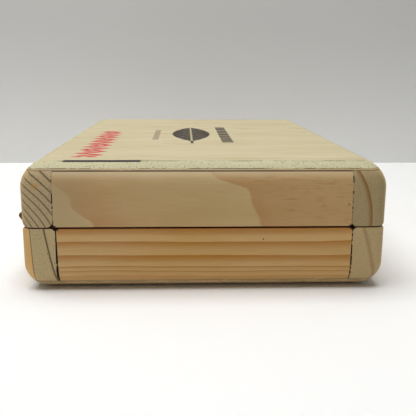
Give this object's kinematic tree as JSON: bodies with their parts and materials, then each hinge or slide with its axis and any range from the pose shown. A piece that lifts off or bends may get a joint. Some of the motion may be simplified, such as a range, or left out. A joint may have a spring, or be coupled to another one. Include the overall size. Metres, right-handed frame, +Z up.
{
  "type": "boxed jigsaw puzzle",
  "caption": "Hinged pine and plywood box with a hook latch, holding a wooden jigsaw whose pieces lift out one by one.",
  "frame": {"origin": "middle of the closed box's underside, on the surface it stands on", "axes": "+X from the hinges to the latch, +Y along the box to its rear end, +Z up"},
  "size_m": [0.1575, 0.22, 0.054],
  "materials": {
    "lid_pine": "sanded, clear matt",
    "base_pine": "sanded, clear matt",
    "plywood": "sanded, clear matt",
    "puzzle_ply": "sawn and stained",
    "aged_brass": "antique, worn satin"
  },
  "bodies": {
    "base": {"base_left_rail": "base_pine", "base_right_rail": "base_pine", "base_front_rail": "base_pine", "base_rear_rail": "base_pine", "base_board": "plywood", "front_hinge_base_leaf": "aged_brass", "rear_hinge_base_leaf": "aged_brass", "front_hinge_pin": "aged_brass", "rear_hinge_pin": "aged_brass", "hinge_base_screws": "aged_brass", "latch_base_plate": "aged_brass", "latch_pivot": "aged_brass", "latch_base_screws": "aged_brass"},
    "lid": {"lid_left_rail": "lid_pine", "lid_right_rail": "lid_pine", "lid_front_rail": "lid_pine", "lid_rear_rail": "lid_pine", "lid_board": "plywood", "front_hinge_lid_leaf": "aged_brass", "rear_hinge_lid_leaf": "aged_brass", "hinge_lid_screws": "aged_brass", "latch_lid_plate": "aged_brass", "latch_peg": "aged_brass", "latch_lid_screws": "aged_brass"},
    "hook": {"latch_hook": "aged_brass"},
    "piece_r1c1": {"puzzle_piece_r1c1": "puzzle_ply"},
    "piece_r1c2": {"puzzle_piece_r1c2": "puzzle_ply"},
    "piece_r1c3": {"puzzle_piece_r1c3": "puzzle_ply"},
    "piece_r1c4": {"puzzle_piece_r1c4": "puzzle_ply"},
    "piece_r1c5": {"puzzle_piece_r1c5": "puzzle_ply"},
    "piece_r2c1": {"puzzle_piece_r2c1": "puzzle_ply"},
    "piece_r2c2": {"puzzle_piece_r2c2": "puzzle_ply"},
    "piece_r2c3": {"puzzle_piece_r2c3": "puzzle_ply"},
    "piece_r2c4": {"puzzle_piece_r2c4": "puzzle_ply"},
    "piece_r2c5": {"puzzle_piece_r2c5": "puzzle_ply"},
    "piece_r3c1": {"puzzle_piece_r3c1": "puzzle_ply"},
    "piece_r3c2": {"puzzle_piece_r3c2": "puzzle_ply"},
    "piece_r3c3": {"puzzle_piece_r3c3": "puzzle_ply"},
    "piece_r3c4": {"puzzle_piece_r3c4": "puzzle_ply"},
    "piece_r3c5": {"puzzle_piece_r3c5": "puzzle_ply"},
    "piece_r4c1": {"puzzle_piece_r4c1": "puzzle_ply"},
    "piece_r4c2": {"puzzle_piece_r4c2": "puzzle_ply"},
    "piece_r4c3": {"puzzle_piece_r4c3": "puzzle_ply"},
    "piece_r4c4": {"puzzle_piece_r4c4": "puzzle_ply"},
    "piece_r4c5": {"puzzle_piece_r4c5": "puzzle_ply"},
    "piece_r5c1": {"puzzle_piece_r5c1": "puzzle_ply"},
    "piece_r5c2": {"puzzle_piece_r5c2": "puzzle_ply"},
    "piece_r5c3": {"puzzle_piece_r5c3": "puzzle_ply"},
    "piece_r5c4": {"puzzle_piece_r5c4": "puzzle_ply"},
    "piece_r5c5": {"puzzle_piece_r5c5": "puzzle_ply"},
    "piece_r6c1": {"puzzle_piece_r6c1": "puzzle_ply"},
    "piece_r6c2": {"puzzle_piece_r6c2": "puzzle_ply"},
    "piece_r6c3": {"puzzle_piece_r6c3": "puzzle_ply"},
    "piece_r6c4": {"puzzle_piece_r6c4": "puzzle_ply"},
    "piece_r6c5": {"puzzle_piece_r6c5": "puzzle_ply"},
    "piece_r7c1": {"puzzle_piece_r7c1": "puzzle_ply"},
    "piece_r7c2": {"puzzle_piece_r7c2": "puzzle_ply"},
    "piece_r7c3": {"puzzle_piece_r7c3": "puzzle_ply"},
    "piece_r7c4": {"puzzle_piece_r7c4": "puzzle_ply"},
    "piece_r7c5": {"puzzle_piece_r7c5": "puzzle_ply"}
  },
  "joints": [
    {"name": "lid_hinge", "type": "hinge", "parent": "base", "child": "lid", "pos_m": [-0.0773, 0, 0.0289], "axis": [0, -1, 0], "range_deg": [0, 180]},
    {"name": "hook_swing", "type": "hinge", "parent": "base", "child": "hook", "pos_m": [0.0769, 0, 0.0195], "axis": [1, 0, 0], "range_deg": [-150, 180]},
    {"name": "piece_r1c1_lift", "type": "slide", "parent": "base", "child": "piece_r1c1", "axis": [0, 0, 1], "range_m": [0, 0.036]},
    {"name": "piece_r1c2_lift", "type": "slide", "parent": "base", "child": "piece_r1c2", "axis": [0, 0, 1], "range_m": [0, 0.036]},
    {"name": "piece_r1c3_lift", "type": "slide", "parent": "base", "child": "piece_r1c3", "axis": [0, 0, 1], "range_m": [0, 0.036]},
    {"name": "piece_r1c4_lift", "type": "slide", "parent": "base", "child": "piece_r1c4", "axis": [0, 0, 1], "range_m": [0, 0.036]},
    {"name": "piece_r1c5_lift", "type": "slide", "parent": "base", "child": "piece_r1c5", "axis": [0, 0, 1], "range_m": [0, 0.036]},
    {"name": "piece_r2c1_lift", "type": "slide", "parent": "base", "child": "piece_r2c1", "axis": [0, 0, 1], "range_m": [0, 0.036]},
    {"name": "piece_r2c2_lift", "type": "slide", "parent": "base", "child": "piece_r2c2", "axis": [0, 0, 1], "range_m": [0, 0.036]},
    {"name": "piece_r2c3_lift", "type": "slide", "parent": "base", "child": "piece_r2c3", "axis": [0, 0, 1], "range_m": [0, 0.036]},
    {"name": "piece_r2c4_lift", "type": "slide", "parent": "base", "child": "piece_r2c4", "axis": [0, 0, 1], "range_m": [0, 0.036]},
    {"name": "piece_r2c5_lift", "type": "slide", "parent": "base", "child": "piece_r2c5", "axis": [0, 0, 1], "range_m": [0, 0.036]},
    {"name": "piece_r3c1_lift", "type": "slide", "parent": "base", "child": "piece_r3c1", "axis": [0, 0, 1], "range_m": [0, 0.036]},
    {"name": "piece_r3c2_lift", "type": "slide", "parent": "base", "child": "piece_r3c2", "axis": [0, 0, 1], "range_m": [0, 0.036]},
    {"name": "piece_r3c3_lift", "type": "slide", "parent": "base", "child": "piece_r3c3", "axis": [0, 0, 1], "range_m": [0, 0.036]},
    {"name": "piece_r3c4_lift", "type": "slide", "parent": "base", "child": "piece_r3c4", "axis": [0, 0, 1], "range_m": [0, 0.036]},
    {"name": "piece_r3c5_lift", "type": "slide", "parent": "base", "child": "piece_r3c5", "axis": [0, 0, 1], "range_m": [0, 0.036]},
    {"name": "piece_r4c1_lift", "type": "slide", "parent": "base", "child": "piece_r4c1", "axis": [0, 0, 1], "range_m": [0, 0.036]},
    {"name": "piece_r4c2_lift", "type": "slide", "parent": "base", "child": "piece_r4c2", "axis": [0, 0, 1], "range_m": [0, 0.036]},
    {"name": "piece_r4c3_lift", "type": "slide", "parent": "base", "child": "piece_r4c3", "axis": [0, 0, 1], "range_m": [0, 0.036]},
    {"name": "piece_r4c4_lift", "type": "slide", "parent": "base", "child": "piece_r4c4", "axis": [0, 0, 1], "range_m": [0, 0.036]},
    {"name": "piece_r4c5_lift", "type": "slide", "parent": "base", "child": "piece_r4c5", "axis": [0, 0, 1], "range_m": [0, 0.036]},
    {"name": "piece_r5c1_lift", "type": "slide", "parent": "base", "child": "piece_r5c1", "axis": [0, 0, 1], "range_m": [0, 0.036]},
    {"name": "piece_r5c2_lift", "type": "slide", "parent": "base", "child": "piece_r5c2", "axis": [0, 0, 1], "range_m": [0, 0.036]},
    {"name": "piece_r5c3_lift", "type": "slide", "parent": "base", "child": "piece_r5c3", "axis": [0, 0, 1], "range_m": [0, 0.036]},
    {"name": "piece_r5c4_lift", "type": "slide", "parent": "base", "child": "piece_r5c4", "axis": [0, 0, 1], "range_m": [0, 0.036]},
    {"name": "piece_r5c5_lift", "type": "slide", "parent": "base", "child": "piece_r5c5", "axis": [0, 0, 1], "range_m": [0, 0.036]},
    {"name": "piece_r6c1_lift", "type": "slide", "parent": "base", "child": "piece_r6c1", "axis": [0, 0, 1], "range_m": [0, 0.036]},
    {"name": "piece_r6c2_lift", "type": "slide", "parent": "base", "child": "piece_r6c2", "axis": [0, 0, 1], "range_m": [0, 0.036]},
    {"name": "piece_r6c3_lift", "type": "slide", "parent": "base", "child": "piece_r6c3", "axis": [0, 0, 1], "range_m": [0, 0.036]},
    {"name": "piece_r6c4_lift", "type": "slide", "parent": "base", "child": "piece_r6c4", "axis": [0, 0, 1], "range_m": [0, 0.036]},
    {"name": "piece_r6c5_lift", "type": "slide", "parent": "base", "child": "piece_r6c5", "axis": [0, 0, 1], "range_m": [0, 0.036]},
    {"name": "piece_r7c1_lift", "type": "slide", "parent": "base", "child": "piece_r7c1", "axis": [0, 0, 1], "range_m": [0, 0.036]},
    {"name": "piece_r7c2_lift", "type": "slide", "parent": "base", "child": "piece_r7c2", "axis": [0, 0, 1], "range_m": [0, 0.036]},
    {"name": "piece_r7c3_lift", "type": "slide", "parent": "base", "child": "piece_r7c3", "axis": [0, 0, 1], "range_m": [0, 0.036]},
    {"name": "piece_r7c4_lift", "type": "slide", "parent": "base", "child": "piece_r7c4", "axis": [0, 0, 1], "range_m": [0, 0.036]},
    {"name": "piece_r7c5_lift", "type": "slide", "parent": "base", "child": "piece_r7c5", "axis": [0, 0, 1], "range_m": [0, 0.036]}
  ]
}
